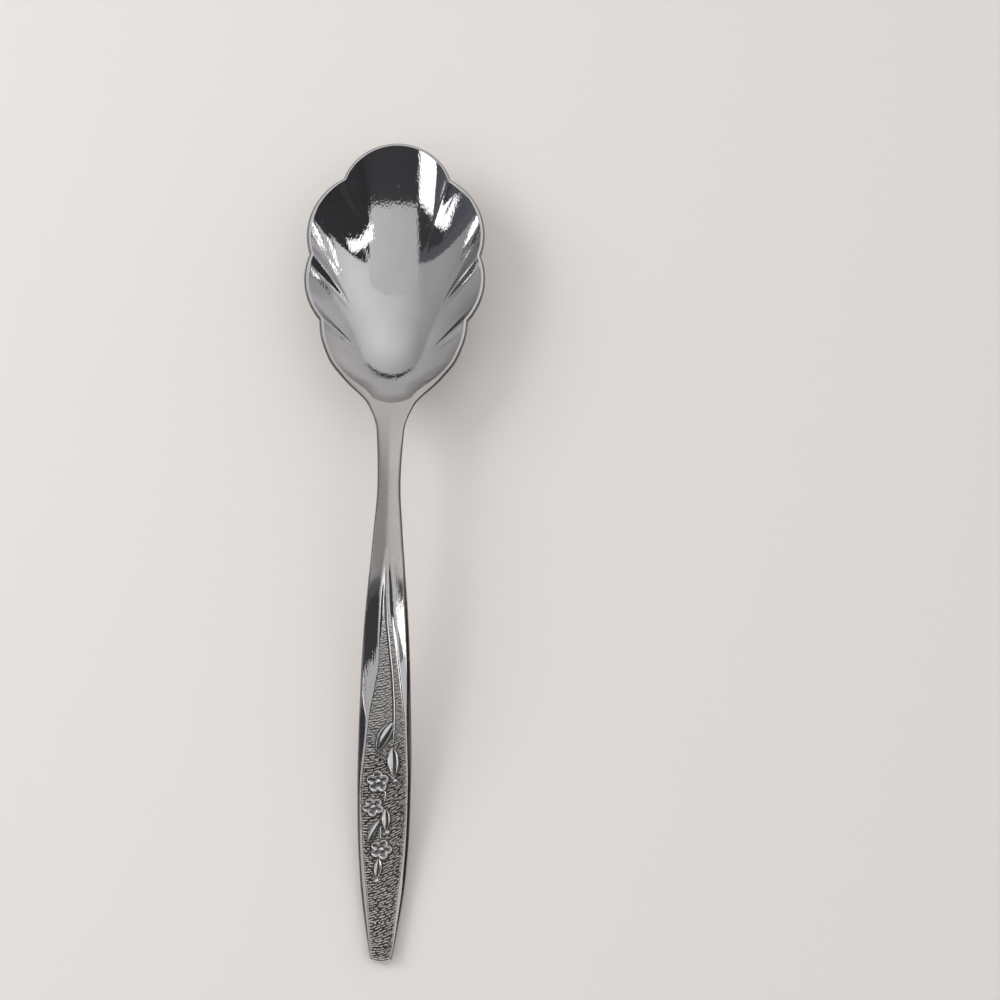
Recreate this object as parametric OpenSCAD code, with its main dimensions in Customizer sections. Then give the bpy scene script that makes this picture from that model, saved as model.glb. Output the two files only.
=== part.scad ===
// Sugar spoon: a fluted shell bowl, an arched neck and a flat handle with a floral sprig in a sunk panel.
// X runs across the spoon, Y along it towards the bowl, Z up. The spoon lies on z = 0, centred in X and Y.

/* [Overall] */
// Length from the handle's end to the bowl's tip
spoon_length = 152; // [136:1:164]
// Height of the top of the neck's arch
arch_height = 13.6; // [12.6:0.1:15]

/* [Bowl] */
// Width of the bowl across its widest lobes
bowl_width = 34; // [31:0.5:36]
// Height of the rim at the tip
tip_height = 9.3; // [8:0.1:10.5]
// Height of the rim at the heel, where the neck begins
heel_height = 11.7; // [10.5:0.1:12.4]
// Thickness of the bowl's wall
wall = 1; // [0.8:0.1:1.2]
// How late the wall of the bowl rises: a higher value gives a flatter floor
bowl_curve = 2.2; // [1.8:0.1:2.8]
// Share of the way from the shell's hinge to the rim at which the flutes begin
flute_start = 0.4; // [0.2:0.05:0.6]
// Height of the highest pleat, where two lobes meet at the rim
pleat_height = 1.3; // [0.8:0.1:1.6]

/* [Handle] */
// Width of the handle at its widest
handle_width = 9.7; // [8.5:0.1:11]
// Width of the neck at its narrowest
neck_width = 4.2; // [3.6:0.1:5]
// Thickness of the handle's end
end_thickness = 2; // [1.6:0.1:2.4]
// How far the handle's end bulges past its corners
end_bulge = 0.5; // [0.2:0.1:0.8]

/* [Ornament] */
// Depth of the panel's ground below its rims
panel_sink = 0.25; // [0.15:0.05:0.35]
// Thickness of the panel's ground
panel_thickness = 0.5; // [0.3:0.1:0.6]
// Height of the sprig above the ground
relief = 0.4; // [0.25:0.05:0.5]
// Height of the stem, which is lower than the leaves
stem_height = 0.15; // [0.1:0.05:0.3]
// Width of the sprig's stem
stem_width = 0.4; // [0.3:0.05:0.6]

/* [Hidden] */

steel = [0.76, 0.76, 0.77];
worn_steel = [0.62, 0.61, 0.61];

// Places along the length are written for a spoon of this length, and stretched to the wanted one
design_length = 152;
stretch = spoon_length / design_length;
tip_y = design_length / 2;
end_y = -design_length / 2;
cut_y = 24;
panel_y = -3;
rest_y = -64;

half_bowl = bowl_width / 2;
half_neck = neck_width / 2;
half_handle = handle_width / 2;

// Half-width of the heel, the neck and the handle at places along the length
width_points = [
    [end_y, 0.39 * half_handle], [-70, 0.6 * half_handle], [-62, 0.83 * half_handle],
    [-52, 0.965 * half_handle], [-42, half_handle], [-26, 0.925 * half_handle],
    [-18, 0.85 * half_handle], [0, 0.55 * half_handle], [9, half_neck], [19, 1.2 * half_neck],
    [cut_y, 2 * half_neck], [29, 0.525 * half_bowl], [33, 0.7 * half_bowl],
    [38, 0.8 * half_bowl], [40.5, 0.815 * half_bowl]];

// Height of the ridge of the neck and the handle
ridge_points = [
    [end_y, end_thickness], [rest_y, end_thickness + 0.5], [-54, 3.85], [-42, 6.25], [-28, 9.15], [-18, 11.2],
    [-8, 12.65], [2, arch_height - 0.3], [11, arch_height], [19, heel_height + 1], [cut_y, heel_height]];

// Height of the underside, which lies flat on the table near the handle's end
under_points = [
    [end_y, 0], [rest_y, 0], [-54, 1.55], [-42, 3.95], [-28, 6.75], [-18, 8.7], [-8, 10.1],
    [2, arch_height - 3], [11, arch_height - 2.8], [19, arch_height - 2.7], [cut_y, heel_height - wall]];

// Fall of the top from the ridge to the edge, and rise of the underside from its middle to the edge
fall_points = [
    [end_y, 0.25], [-60, 0.5], [-52, 0.65], [-44, 0.7], [-34, 0.7], [-26, 0.65], [-19, 1], [-8, 1],
    [11, 0.6], [cut_y, 0]];
lift_points = [[end_y, 0], [rest_y, 0], [-50, 0.25], [-28, 0.45], [11, 0.7], [cut_y, 0]];

// Bevel along the sides: its reach in from the side, how far it falls away and how softly it begins
edge_left_points = [
    [end_y, 0.12], [-70, 0.3], [-58, 0.4], [-46, 0.5], [-42, 0.7], [-36, 1.3], [-33.5, 1.4], [-31, 0.8],
    [-28, 0.4], [-10, 0.5], [8, 0.8], [cut_y, 0.4]];
edge_right_points = [
    [end_y, 0.12], [-70, 0.3], [-58, 0.5], [-46, 0.55], [-34, 0.8], [-26, 0.6], [-10, 0.7], [8, 0.8],
    [cut_y, 0.4]];
bevel_points = [
    [end_y, 0.3], [-58, 0.4], [-46, 0.45], [-36, 0.85], [-32, 0.8], [-26, 0.5], [-10, 0.35], [8, 0.4],
    [cut_y, 0.5]];
crisp_points = [[-22, 0.5], [-12, 1]];

// Places across the panel are written for a handle of this half-width, and scaled to the wanted one
usual_half_handle = 4.85;
across = half_handle / usual_half_handle;

// Distance of the panel's two sides from the middle of the handle, and the run of its lips down to the ground
panel_left_points = [
    [end_y, 1.65], [-64, 2.8], [-56, 3.6], [-46, 4], [-40, 3.5], [-33, 2.8], [-28, 1.9], [-23, 1.2],
    [-14, 1.15], [-9, 1], [panel_y, 0.4]];
panel_right_points = [
    [end_y, 1.65], [-64, 2.75], [-56, 3.6], [-47, 4], [-34, 3.6], [-28, 3.1], [-21, 2.25], [-14, 1.6],
    [-9, 1.15], [panel_y, 0.4]];
lip_left_points = [
    [end_y, 0.12], [-30, 0.2], [-21, 0.25], [-14, 0.65], [-9, 0.75], [panel_y, 0.25]];
lip_right_points = [
    [end_y, 0.12], [-34, 0.2], [-28, 0.4], [-21, 0.6], [-14, 1.1], [-9, 0.9], [panel_y, 0.25]];

// Length over which the panel sinks to its full depth
sink_run = 9;

// The bowl's floor is lowest at floor_y; the flutes fan out from the hinge along lines that bend past bend_y
floor_y = 46;
hinge = [0, 31];
bend_y = 37;
fan_bend = 0.5;
flute_power = 2.2;
cusps = [[0.595 * half_bowl, 68.7], [0.945 * half_bowl, 53.4], [0.815 * half_bowl, 40.5]];
lobe_rises = [2.95, 1.8];
lobe_steps = 16;
heel_steps = 12;
cut_steps = 6;
bowl_rings = 16;
outer_rings = 10;

// Reach of the smooth hollow around its lowest point, for a bowl of the usual half-width:
// all around, more to the tip, less across and more at the corners
usual_half_bowl = 17;
hollow_reach = 19.5;
tip_reach = 3.3;
side_reach = -4.6;
corner_reach = 0.7;

// Pleats at the cusps: where they start, their share of the full height and the width of their two sides
pleat_starts = [0.72, 0.55, 0.55];
pleat_shares = [0.27, 1, 0.77];
pleat_up = 4.4;
pleat_down = 2.2;
pleat_soft = 0.05;
pleat_growth = 5;

// Height of the rim along the bowl, and its rounded edge
rim_points = [
    [cut_y, heel_height], [27, heel_height - 0.6], [38, heel_height - 1.1], [56, tip_height + 0.8],
    [tip_y, tip_height]];
rim_edge = 0.4;
rim_bulge = 0.1;
rim_inset = 0.04;
lean_step = 0.5;
slope_step = 0.05;
outer_turn = 0.5;

// At the heel the rim turns flat into the neck, and the hollow begins behind a curved back wall
heel_turn = 31;
heel_reach = 7;
heel_shift = [-0.6, 1.5];
heel_sag = 0.4;

// Steps along the neck and the handle, and the shares of the flat top at which the neck is drawn
neck_step = 1.5;
handle_step = 1.5;
across_shares = [-1, -0.75, -0.5, -0.25, 0, 0.25, 0.5, 0.75, 1];
ridge_power = 1.3;
foot_round = 0.4;
wall_draft = 0.1;
side_hollow = 0.03;

function clamp(v, low, high) = min(high, max(low, v));
function ease(t) = let (c = clamp(t, 0, 1)) c * c * (3 - 2 * c);
function spot(x, y, z) = [x, y * stretch, z];

// Smooth curve through [place, value] points in rising order of place, with no overshoot
function rate(points, i) = (points[i + 1][1] - points[i][1]) / (points[i + 1][0] - points[i][0]);
function slope(points, i) =
    i == 0 ? rate(points, 0)
    : i == len(points) - 1 ? rate(points, i - 1)
    : let (a = rate(points, i - 1), b = rate(points, i)) a * b <= 0 ? 0 : 2 * a * b / (a + b);
function span_of(points, at, i = 0) =
    i >= len(points) - 2 || at < points[i + 1][0] ? i : span_of(points, at, i + 1);
function smooth(points, at) =
    let (
        i = span_of(points, at),
        gap = points[i + 1][0] - points[i][0],
        t = clamp((at - points[i][0]) / gap, 0, 1),
        start = points[i][1],
        end = points[i + 1][1]
    )
    start + (end - start) * t * t * (3 - 2 * t)
    + gap * (slope(points, i) * t * (1 - t) * (1 - t) - slope(points, i + 1) * t * t * (1 - t));

function half_width(y) = smooth(width_points, y);
function top_height(x, y) =
    smooth(ridge_points, y) - smooth(fall_points, y) * pow(abs(x) / half_width(y), ridge_power);
function under_height(x, y) =
    smooth(under_points, y) + smooth(lift_points, y) * pow(x / half_width(y), 2);

// Near the handle's end the corners are drawn back, so the end bulges
bulge_run = 6;
function drawn_back(x, y) =
    let (share = clamp((end_y + bulge_run - y) / bulge_run, 0, 1))
    y + end_bulge * share * share * pow(x / half_width(y), 2);
function blade_spot(x, y, z) = spot(x, drawn_back(x, y), z);

// Places from one end to the other in steps of about the wanted size
function places(from, to, step) =
    let (n = ceil(abs(to - from) / step)) [for (i = [0:n]) from + (to - from) * i / n];

// Closed solid through sections, each one a row of top points, a row of bottom points and two side points
module loft(sections) {
    n = len(sections[0][0]);
    size = 2 * n + 2;
    last = len(sections) - 1;
    points = [for (s = sections) each concat(s[0], [s[3]], [for (i = [n - 1:-1:0]) s[1][i]], [s[2]])];
    skin = [for (k = [0:last - 1], i = [0:size - 1])
        let (a = k * size + i, b = k * size + (i + 1) % size)
        each [[a, b, a + size], [b, b + size, a + size]]];
    first_cap = [for (i = [0:n - 2]) each [[i, 2 * n - i, i + 1], [i + 1, 2 * n - i, 2 * n - i - 1]]];
    first_ends = [[n - 1, n + 1, n], [0, size - 1, 2 * n]];
    far = last * size;
    turned = [for (f = concat(first_cap, first_ends)) [far + f[2], far + f[1], far + f[0]]];
    polyhedron(points, concat(skin, first_cap, first_ends, turned), convexity = 8);
}

// Bevel of the blade's side, turning from the flat top (0 degrees) to the upright side (90 degrees)
function bevel_reach(side, y) = smooth(side < 0 ? edge_left_points : edge_right_points, y);
function bevel_spot(side, y, turn) =
    let (
        x = half_width(y) - bevel_reach(side, y) * (1 - sin(turn)),
        fall = smooth(bevel_points, y) * pow(1 - cos(turn), smooth(crisp_points, y))
    )
    blade_spot(side * x, y, top_height(x, y) - fall);
function flat_half(side, y) = half_width(y) - bevel_reach(side, y);

// Section of the solid blade: its top between two bevels, its underside and the middle of its two sides
function side_spot(side, y) =
    let (
        w = half_width(y),
        top = top_height(w, y) - smooth(bevel_points, y),
        low = under_height(w - foot_round, y)
    )
    blade_spot(side * w, y, (top + low) / 2);
function blade_section(y, flat_top) =
    let (
        left = [bevel_spot(-1, y, 90), bevel_spot(-1, y, 45)],
        right = [bevel_spot(1, y, 45), bevel_spot(1, y, 90)],
        top = concat(left, flat_top, right),
        narrowed = 1 - foot_round / half_width(y),
        xs = [for (p = top) p[0] * narrowed]
    )
    [top, [for (x = xs) blade_spot(x, y, under_height(x, y))], side_spot(-1, y), side_spot(1, y)];
function plain_section(y) =
    blade_section(y, [for (share = across_shares)
        let (x = share * flat_half(sign(share), y)) blade_spot(x, y, top_height(x, y))]);

// The panel's sides and its sink, which grows from nothing at the neck
function panel_side(side, y) =
    side * across * smooth(side < 0 ? panel_left_points : panel_right_points, y);
function sink(y) = panel_sink * ease((panel_y - y) / sink_run);

// Height of a level straight across the panel from one lip to the other, at a depth below them
function level(x, y, depth) =
    let (
        a = panel_side(-1, y),
        b = panel_side(1, y),
        za = top_height(a, y),
        zb = top_height(b, y)
    )
    za + (zb - za) * (x - a) / (b - a) - depth;
function level_spot(x, y, depth) = blade_spot(x, y, level(x, y, depth));

// Spots on the panel's wall: its lip, the foot of its lip on the ground, and its drop to the recess's floor
function foot_x(side, y) =
    panel_side(side, y) - side * across * smooth(side < 0 ? lip_left_points : lip_right_points, y);
function wall_spot(side, y, share, inward = 0) =
    let (x = foot_x(side, y) - side * (wall_draft * share + inward))
    level_spot(x, y, sink(y) + panel_thickness * share);
function lip_spot(side, y) = level_spot(panel_side(side, y), y, 0);

// Section of the handle with the recess that holds the panel
function flank_spots(side, y) =
    let (in = flat_half(side, y), lip = abs(panel_side(side, y)))
    [for (share = [1, 0.5]) let (x = side * (lip + (in - lip) * share)) blade_spot(x, y, top_height(x, y))];
function recessed_section(y) =
    let (
        left = concat(flank_spots(-1, y), [lip_spot(-1, y), wall_spot(-1, y, 0), wall_spot(-1, y, 1)]),
        right = concat(flank_spots(1, y), [lip_spot(1, y), wall_spot(1, y, 0), wall_spot(1, y, 1)])
    )
    blade_section(y, concat(
        left,
        [level_spot(0, y, sink(y) + panel_thickness)],
        [for (i = [len(right) - 1:-1:0]) right[i]]));

// Section of the panel, which fills the recess up to its ground, with sides that are slightly hollow
function ground_section(y) = [
    [wall_spot(-1, y, 0), level_spot(0, y, sink(y)), wall_spot(1, y, 0)],
    [wall_spot(-1, y, 1), level_spot(0, y, sink(y) + panel_thickness), wall_spot(1, y, 1)],
    wall_spot(-1, y, 0.5, side_hollow),
    wall_spot(1, y, 0.5, side_hollow)];

// Outline of the bowl: points along an arc that rises to the left of the way from a to b
function arc(a, b, rise, steps) =
    let (
        chord = b - a,
        half = norm(chord) / 2,
        u = chord / norm(chord),
        v = [-u[1], u[0]],
        radius = (half * half + rise * rise) / (2 * rise),
        centre = (a + b) / 2 - v * (radius - rise),
        spread = 2 * atan(rise / half)
    )
    [for (i = [0:steps - 1])
        let (t = spread * (2 * i / steps - 1)) centre + radius * (u * sin(t) + v * cos(t))];
function tip_lobe() =
    let (points = arc([-cusps[0][0], cusps[0][1]], cusps[0], tip_y - cusps[0][1], 2 * lobe_steps))
    [for (i = [lobe_steps:2 * lobe_steps - 1]) points[i]];
right_rim = concat(
    tip_lobe(),
    arc(cusps[0], cusps[1], lobe_rises[0], lobe_steps),
    arc(cusps[1], cusps[2], lobe_rises[1], lobe_steps),
    [for (i = [0:heel_steps])
        let (y = cusps[2][1] + (cut_y - cusps[2][1]) * i / heel_steps) [half_width(y), y]]);
corner = len(right_rim) - 1;
outline = concat(
    right_rim,
    [for (i = [1:cut_steps - 1]) [half_width(cut_y) * (1 - 2 * i / cut_steps), cut_y]],
    [for (i = [corner:-1:1]) [-right_rim[i][0], right_rim[i][1]]]);
rim_count = len(outline);
function on_cut(i) = i >= corner && i <= corner + cut_steps;
function next(i) = (i + 1) % rim_count;
function before(i) = (i + rim_count - 1) % rim_count;
function outward(i) =
    let (t = outline[next(i)] - outline[before(i)]) [-t[1], t[0]] / norm(t);

function rim_height(y) = smooth(rim_points, y);

// Smooth hollow that the flutes and the pleats are drawn into
function hollow(p) =
    let (
        x = p[0] * usual_half_bowl / half_bowl,
        y = p[1] - floor_y,
        a = atan2(y, x),
        reach = hollow_reach + tip_reach * sin(a) + side_reach * cos(2 * a) + corner_reach * cos(4 * a)
    )
    wall + (rim_height(p[1]) - wall) * pow(norm([x, y]) / reach, bowl_curve);
function hollow_normal(p) =
    let (
        dx = [slope_step, 0],
        dy = [0, slope_step],
        n = [hollow(p - dx) - hollow(p + dx), hollow(p - dy) - hollow(p + dy), 2 * slope_step]
    )
    n / norm(n);

// How far the rim has turned into the flat heel, and the way it faces there
function heel_turned(i) = ease((heel_turn - outline[i][1]) / heel_reach);
function side_of(i) = outline[i][0] < 0 ? -1 : 1;
function rim_way(i) =
    let (k = heel_turned(i), way = outward(i) * (1 - k) + [side_of(i), 0] * k) way / norm(way);
function cut_share(i) = outline[i][0] / half_width(cut_y);

// The inner rim lies inside the outline by the lean of the wall; along the cut it tops the curved back wall
function lean(i) =
    let (inside = outline[i] - lean_step * outward(i), rise = hollow(outline[i]) - hollow(inside))
    rise / norm([rise, lean_step]);
function cut_rim(c) =
    [c * (half_width(cut_y) + heel_shift[0]), cut_y + heel_sag + (heel_shift[1] - heel_sag) * c * c];
inner_rim = [for (i = [0:rim_count - 1])
    let (k = heel_turned(i))
    on_cut(i) ? cut_rim(cut_share(i))
    : outline[i] - wall * lean(i) * (1 - k) * outward(i) + k * [side_of(i) * heel_shift[0], heel_shift[1]]];

// Lip on top of the rim, edge where the outer skin begins, and the rounded middle between them
function lip_plan(i) =
    on_cut(i) ? [cut_share(i) * (half_width(cut_y) - rim_edge), cut_y] : outline[i] - rim_edge * rim_way(i);
function rim_lip(i) = let (p = lip_plan(i)) [p[0], p[1], rim_height(p[1])];
function outer_edge(i) =
    let (
        k = heel_turned(i),
        p = on_cut(i) ? lip_plan(i) : outline[i] - (rim_inset * (1 - k) + rim_edge * k) * rim_way(i),
        drop = on_cut(i) ? wall : wall * (sqrt(1 - pow(lean(i), 2)) * (1 - k) + k)
    )
    [p[0], p[1], rim_height(inner_rim[i][1] * (1 - k) + p[1] * k) - drop];
function rim_middle(i) =
    let (
        k = heel_turned(i),
        at_corner = i == corner || i == corner + cut_steps,
        out = on_cut(i) ? (at_corner ? rim_edge * side_of(i) : 0) * [1, 0]
                        : (rim_bulge * (1 - k) + rim_edge * k) * rim_way(i)
    )
    (rim_lip(i) + outer_edge(i)) / 2 + [out[0], out[1], 0];

// Pleats: straight-sided ridges at the cusps that taper to a point at their inner end
function gap_after(i) = i < corner ? norm(right_rim[i + 1] - right_rim[i]) : 0;
rim_lengths = [for (i = 0, length = 0; i <= corner; length = length + gap_after(i), i = i + 1) length];
function from_cusp(at, k) =
    let (past = rim_lengths[at] - rim_lengths[lobe_steps * (k + 1)])
    past > 0 ? past / pleat_down : -past / pleat_up;
function pleat_of(at, k, s) =
    let (
        grow = clamp((s - pleat_starts[k]) / (1 - pleat_starts[k]), 0, 1),
        above = grow - from_cusp(at, k) * s
    )
    pleat_height * pleat_shares[k] * ease(pleat_growth * grow) * (above + norm([above, pleat_soft])) / 2;
function pleat(i, s) =
    let (at = i <= corner ? i : rim_count - i)
    at > corner ? 0 : max([for (k = [0:len(cusps) - 1]) pleat_of(at, k, s)]);

// The flutes bring the hollow to the rim's height along each line from the hinge
function flute(s) = pow(clamp((s - flute_start) / (1 - flute_start), 0, 1), flute_power);
function inner_spot(i, s) =
    let (
        rim = inner_rim[i],
        bent = s * (1 - s) * fan_bend * max(rim[1] - bend_y, 0),
        p = hinge + s * (rim - hinge) + [0, bent],
        excess = hollow(rim) + pleat(i, 1) - rim_height(rim[1])
    )
    [p[0], p[1], hollow(p) + pleat(i, s) - excess * flute(s)];
function under_spot(i, s) =
    let (p = inner_spot(i, s)) p - wall * hollow_normal([p[0], p[1]]);
function outer_spot(i, s) =
    under_spot(i, s) + (outer_edge(i) - under_spot(i, 1)) * ease((s - outer_turn) / (1 - outer_turn));

// Rows of triangles between two rings of points that start at the given places in the list
function band(a, b) = [for (i = [0:rim_count - 1])
    each [[a + i, b + i, a + next(i)], [a + next(i), b + i, b + next(i)]]];
function fan(centre, ring) = [for (i = [0:rim_count - 1]) [centre, ring + i, ring + next(i)]];
function turn_over(faces) = [for (f = faces) [f[2], f[1], f[0]]];

// Fluted bowl: an inner skin, a flat rim with a rounded edge and an outer skin one wall away
module bowl() {
    around = [for (i = [0:rim_count - 1]) i];
    centre = inner_spot(0, 0);
    foot = under_spot(0, 0);
    rings = concat(
        [for (j = [1:bowl_rings]) [for (i = around) inner_spot(i, j / bowl_rings)]],
        [[for (i = around) rim_lip(i)]],
        [[for (i = around) rim_middle(i)]],
        [for (j = [outer_rings:-1:1]) [for (i = around) outer_spot(i, j / outer_rings)]]);
    points = [for (p = concat([centre, foot], [for (ring = rings) each ring])) spot(p[0], p[1], p[2])];
    ring_start = [for (j = [0:len(rings) - 1]) 2 + j * rim_count];
    bands = [for (j = [0:len(rings) - 2]) each band(ring_start[j], ring_start[j + 1])];
    last = ring_start[len(rings) - 1];
    color(steel) polyhedron(points, concat(fan(0, 2), bands, turn_over(fan(1, last))), convexity = 8);
}

// Neck: from the flat heel over the ridged arch to the start of the panel
module neck() {
    color(steel) loft([for (y = places(cut_y, panel_y, neck_step)) plain_section(y)]);
}

// Handle: bevelled blade with a recess for the panel, flat underneath at its end
module handle() {
    color(steel) loft([for (y = places(panel_y, end_y, handle_step)) recessed_section(y)]);
}

// Panel: the ground that fills the recess and carries the sprig
module panel() {
    color(worn_steel) loft([for (y = places(panel_y, end_y, handle_step)) ground_section(y)]);
}

// Spot on the panel's ground or above it
function sprig_spot(p, height) =
    let (x = p[0] * across) spot(x, p[1], level(x, p[1], sink(p[1])) + height);

// Closed solid from crowned rows of points, each running from right to left and standing on the ground
module strip(rows) {
    n = len(rows[0]);
    last = len(rows) - 1;
    skin = [for (k = [0:last - 1], i = [0:n - 2])
        let (a = k * n + i) each [[a, a + 1, a + n], [a + 1, a + n + 1, a + n]]];
    foot = [for (k = [0:last - 1])
        let (a = k * n, b = a + n - 1) each [[a, a + n, b], [b, a + n, b + n]]];
    first_cap = [for (i = [n - 1:-1:0]) i];
    last_cap = [for (i = [0:n - 1]) last * n + i];
    polyhedron([for (row = rows) each row], concat(skin, foot, [first_cap, last_cap]), convexity = 4);
}

// Closed solid from rings of points around a top, the last ring standing on the ground
module dome(top, foot, rings) {
    n = len(rings[0]);
    last = len(rings) - 1;
    crown = [for (i = [0:n - 1]) [0, 2 + (i + 1) % n, 2 + i]];
    skin = [for (j = [0:last - 1], i = [0:n - 1])
        let (a = 2 + j * n, k = (i + 1) % n)
        each [[a + i, a + k, a + n + i], [a + k, a + n + k, a + n + i]]];
    base = [for (i = [0:n - 1]) [1, 2 + last * n + i, 2 + last * n + (i + 1) % n]];
    polyhedron(concat([top, foot], [for (ring = rings) each ring]), concat(crown, skin, base), convexity = 6);
}

// Ridge along a path of [place along, place across] points, thin at both ends
ridge_steps = 20;
ridge_taper = 3;
ridge_end = 0.4;
ridge_profile = [1, 0.5, 0, -0.5, -1];
module ridge(path, width, height) {
    from = path[0][0];
    to = path[len(path) - 1][0];
    strip([for (i = [0:ridge_steps])
        let (
            y = from + (to - from) * i / ridge_steps,
            full = ridge_end + (1 - ridge_end) * ease(min(i, ridge_steps - i) / ridge_taper)
        )
        [for (k = ridge_profile)
            sprig_spot([smooth(path, y) + k * full * width / 2, y], height * full * (1 - k * k))]]);
}

// Leaf: lance-shaped from its base to its tip, a flat blade with raised edges and a sunk vein
leaf_steps = 12;
leaf_profile = [-1, -0.92, -0.76, -0.4, -0.1, 0.1, 0.25, 0.4, 0.55, 0.7, 0.82, 0.92, 1];
leaf_point = 0.06;
blade_level = 0.8;
leaf_edge = 0.76;
leaf_edge_width = 0.2;
vein_depth = 0.65;
vein_width = 0.14;
vein_growth = 0.16;
function bell(distance, width) = exp(-pow(distance / width, 2));
function leaf_swell(t) = leaf_point + (1 - leaf_point) * pow(sin(180 * pow(t, 0.85)), 0.9);
function leaf_rise(k, t, vein) =
    let (
        edge = bell(abs(k) - leaf_edge, leaf_edge_width),
        line = bell(k - vein, vein_width + vein_growth * t) * ease(6 * t * (1 - t))
    )
    (1 - pow(abs(k), 10)) * (blade_level + (1 - blade_level) * edge - vein_depth * line);
module leaf(base, tip, width, bend, vein) {
    way = tip - base;
    left = [-way[1], way[0]] / norm(way);
    strip([for (i = [0:leaf_steps])
        let (
            t = i / leaf_steps,
            middle = base + way * t + left * bend * 4 * t * (1 - t),
            swell = leaf_swell(t),
            full = 0.6 + 0.4 * sqrt(swell)
        )
        [for (k = leaf_profile)
            sprig_spot(middle + left * k * swell * width / 2, relief * full * leaf_rise(k, t, vein))]]);
}

// Blossom of unit radius: round petals with raised rims around a knob
petals = 5;
petal_angle = 360 / petals;
petal_reach = 0.58;
petal_size = 0.46;
petal_edge = 1.05;
petal_level = 0.2;
petal_rim = 0.75;
petal_rim_width = 0.3;
petal_slope = 0.15;
moat_reach = 0.32;
moat_width = 0.1;
moat_depth = 0.85;
knob_size = 0.25;
knob_height = 1.05;
function blossom_edge(a) =
    let (off = abs(a - petal_angle * round(a / petal_angle)))
    petal_reach * cos(off) + sqrt(pow(petal_edge * petal_size, 2) - pow(petal_reach * sin(off), 2));
function petal_rise(r) =
    let (dish = petal_level + (1 - petal_level) * bell(r - petal_rim, petal_rim_width))
    dish * ease((petal_edge - r) / petal_slope);
function blossom_rise(p) =
    let (
        r = norm(p),
        moat = 1 - moat_depth * bell(r - moat_reach, moat_width),
        knob = knob_height * sqrt(max(0, 1 - pow(r / knob_size, 2)))
    )
    max(knob, moat * max([for (i = [0:petals - 1])
        let (a = petal_angle * i) petal_rise(norm(p - petal_reach * [cos(a), sin(a)]) / petal_size)]));
blossom_steps = 40;
blossom_shares = [0.08, 0.16, 0.26, 0.38, 0.52, 0.66, 0.78, 0.88, 0.96, 1];
module blossom(centre, radii, turn) {
    angles = [for (i = [0:blossom_steps - 1]) 360 * i / blossom_steps];
    rings = [for (share = blossom_shares) [for (a = angles)
        let (
            r = share * blossom_edge(a),
            out = r * [cos(a + turn), sin(a + turn)],
            rise = share < 1 ? blossom_rise(r * [cos(a), sin(a)]) : 0
        )
        sprig_spot(centre + [radii[0] * out[0], radii[1] * out[1]], relief * rise)]];
    dome(sprig_spot(centre, relief * knob_height), sprig_spot(centre, 0), rings);
}

// Bud: a round knob with a flat top at the tip of a leaf
bud_steps = 16;
bud_radius = 0.48;
bud_height = 1.2;
bud_shares = [0.5, 0.75, 0.9, 1];
bud_spots = [[2, -44.2], [0.7, -53.3], [-1.05, -61.8]];
module bud(centre) {
    rings = [for (share = bud_shares) [for (i = [0:bud_steps - 1])
        let (a = 360 * i / bud_steps, rise = pow(1 - pow(share, 4), 0.6))
        sprig_spot(centre + bud_radius * share * [cos(a), sin(a)], relief * bud_height * rise)]];
    dome(sprig_spot(centre, relief * bud_height), sprig_spot(centre, 0), rings);
}

// Sprig: a stem down the panel, leaves beside it, three blossoms below it, short stalks, buds at leaf tips
stalk_width = 0.58;
stem_path = [[-38.4, 1.6], [-33, 1.75], [-27, 1.5], [-21, 0.85], [-15, 0.2], [-7, -0.15]];
stalk_paths = [
    [[-44.1, 1.95], [-43.5, 1.35], [-42.8, 0.6]],
    [[-48, 0], [-47.3, 0.25], [-46.5, 0.3], [-45.8, 0.05]],
    [[-54.6, -0.45], [-53.4, -0.5], [-52, -0.5]]];
module stem() {
    color(steel) ridge(stem_path, stem_width, stem_height);
    color(steel) for (path = stalk_paths) ridge(path, stalk_width, relief);
}
module leaf_1() { color(steel) leaf([1.5, -33.8], [-1.4, -39.3], 2.4, -0.3, 0.55); }
module leaf_2() { color(steel) leaf([1.4, -38.2], [1.8, -43.8], 2.3, 0, 0.3); }
module leaf_3() { color(steel) leaf([0.25, -49], [0.4, -53.1], 1.75, 0.1, 0.3); }
module leaf_4() { color(steel) leaf([-0.75, -51.1], [-2.9, -55.1], 1.45, -0.15, 0.6); }
module leaf_5() { color(steel) leaf([-0.75, -57.8], [-1.05, -61.6], 1.6, 0, 0.1); }
module blossom_1() { color(steel) blossom([-1.1, -44.35], [2.05, 2], 20); }
module blossom_2() { color(steel) blossom([-1.9, -48.8], [1.95, 1.7], 50); }
module blossom_3() { color(steel) blossom([-0.35, -56.3], [2, 1.8], 0); }
module buds() { color(steel) for (p = bud_spots) bud(p); }

bowl();
neck();
handle();
panel();
stem();
leaf_1();
leaf_2();
leaf_3();
leaf_4();
leaf_5();
blossom_1();
blossom_2();
blossom_3();
buds();
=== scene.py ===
# Looks of a sugar spoon: a fluted shell bowl, an arched neck and a handle
# with a floral sprig in a stippled panel
import math

import bpy
import numpy as np
from mathutils import Matrix, Vector


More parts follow.
